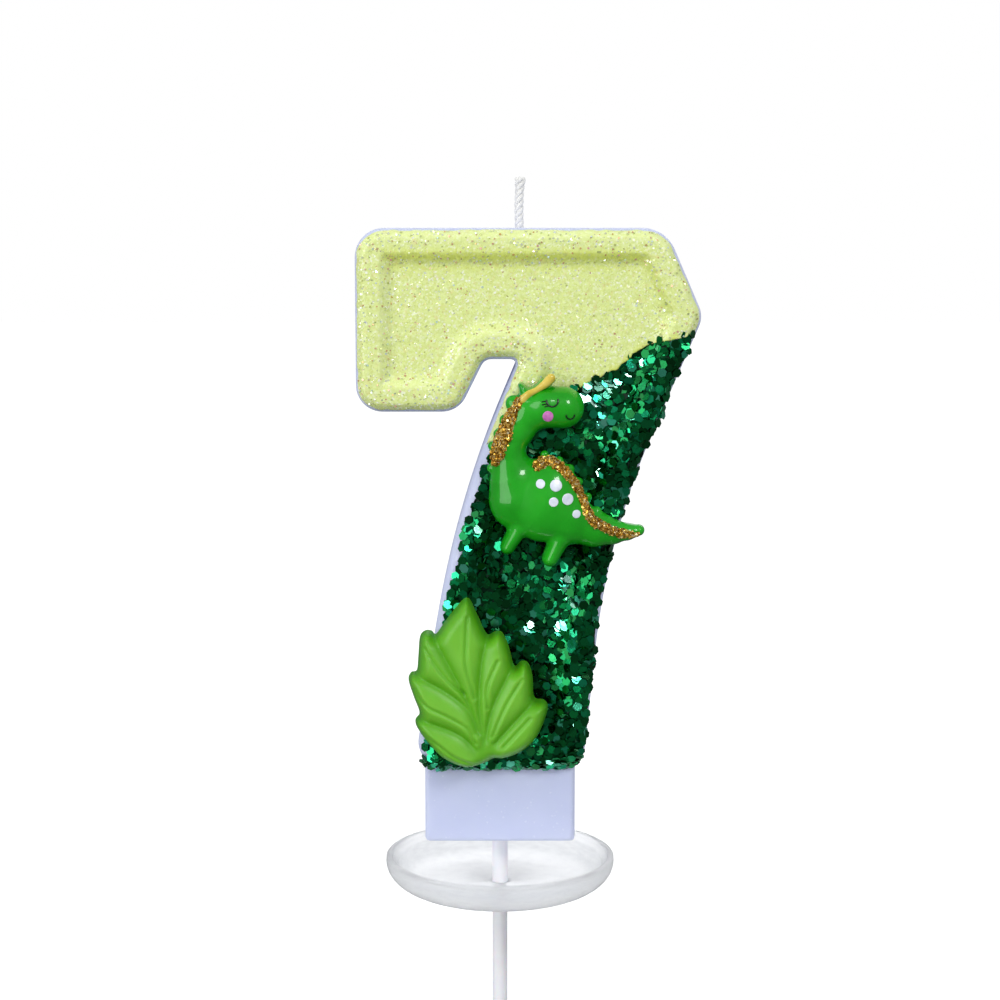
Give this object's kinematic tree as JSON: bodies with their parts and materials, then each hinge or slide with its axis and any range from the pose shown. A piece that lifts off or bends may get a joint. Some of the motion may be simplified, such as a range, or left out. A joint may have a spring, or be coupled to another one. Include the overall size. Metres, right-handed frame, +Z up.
{
  "type": "number birthday candle",
  "caption": "Wax numeral seven candle with two glitter coats, a dinosaur and a leaf charm, on a pointed stick with a sliding drip tray.",
  "frame": {"origin": "where the stick's axis crosses the underside of the drip tray, which is the surface of the cake", "axes": "+Z up along the stick, the decorated front faces -Y, +X to the right of someone looking at the front"},
  "size_m": [0.0413, 0.0284, 0.118],
  "materials": {
    "wax": "pale lavender paraffin wax, softly translucent",
    "wick_cotton": "white braided cotton, waxed",
    "yellow_glitter": "fine pearly yellow-green glitter in clear glue",
    "green_glue": "clear glue packed with small green flakes",
    "green_flakes": "mirror-bright emerald hexagon flakes",
    "green_resin": "glossy cast resin",
    "amber_paint": "glossy amber enamel",
    "gold_glitter": "coarse gold glitter glue",
    "dark_paint": "thin printed ink",
    "pink_paint": "glossy enamel",
    "white_paint": "glossy enamel",
    "clear_glue": "clear cured glue",
    "leaf_resin": "satin cast resin",
    "white_plastic": "moulded white plastic",
    "frosted_plastic": "frosted translucent plastic"
  },
  "bodies": {
    "candle": {"wax_numeral": "wax", "wick": "wick_cotton", "yellow_glitter_coat": "yellow_glitter", "green_glue_bed": "green_glue", "green_glitter_flakes": "green_flakes", "dinosaur_charm": "green_resin", "dinosaur_crest": "amber_paint", "neck_gold_glitter": "gold_glitter", "back_gold_glitter": "gold_glitter", "dinosaur_eyelid": "dark_paint", "dinosaur_smile": "dark_paint", "dinosaur_cheek": "pink_paint", "dinosaur_spots": "white_paint", "dinosaur_glue_dab": "clear_glue", "leaf_charm": "leaf_resin", "leaf_glue_dab": "clear_glue", "stick": "white_plastic"},
    "tray": {"drip_tray": "frosted_plastic"}
  },
  "joints": [
    {"name": "tray_slide", "type": "slide", "parent": "candle", "child": "tray", "axis": [0, 0, 1], "range_m": [-0.036, 0.0055]}
  ]
}
